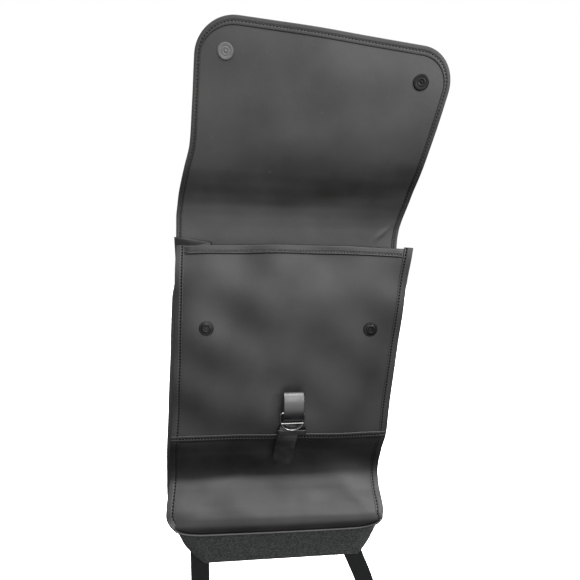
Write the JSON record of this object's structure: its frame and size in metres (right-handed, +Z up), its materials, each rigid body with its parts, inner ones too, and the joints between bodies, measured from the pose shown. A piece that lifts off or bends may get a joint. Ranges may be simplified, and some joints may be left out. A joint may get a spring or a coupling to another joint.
{
  "type": "mini backpack",
  "caption": "Small slim backpack of coated black cloth, open and hanging from its raised flap, with bound edges, press studs, a strap-and-ring front closure and webbing shoulder straps.",
  "frame": {"origin": "on the middle of the flap's cloth at its left edge, near its upper left corner, where the bag is held", "axes": "+X to the right as seen from the front, +Y to the back, +Z up"},
  "size_m": [0.332, 0.1399, 0.8125],
  "materials": {
    "coated_cloth": "smooth satin coating on cloth",
    "coated_tape": "coated tape, stitched",
    "woven_base": "dull woven cloth",
    "strap_webbing": "woven webbing",
    "closure_webbing": "smooth close-woven webbing",
    "snap_metal": "dull black paint",
    "ring_metal": "dark plated wire"
  },
  "bodies": {
    "root": {"back_panel": "coated_cloth", "flap": "coated_cloth", "front_upper_panel": "coated_cloth", "front_lower_panel": "coated_cloth", "gusset_left": "coated_cloth", "gusset_right": "coated_cloth", "flap_binding": "coated_tape", "front_binding": "coated_tape", "bottom_panel": "woven_base", "shoulder_strap_left": "strap_webbing", "shoulder_strap_right": "strap_webbing", "closure_strap": "closure_webbing", "snap_stud_left": "snap_metal", "snap_stud_right": "snap_metal", "snap_socket_left": "snap_metal", "snap_socket_right": "snap_metal", "closure_ring": "ring_metal"}
  },
  "joints": []
}
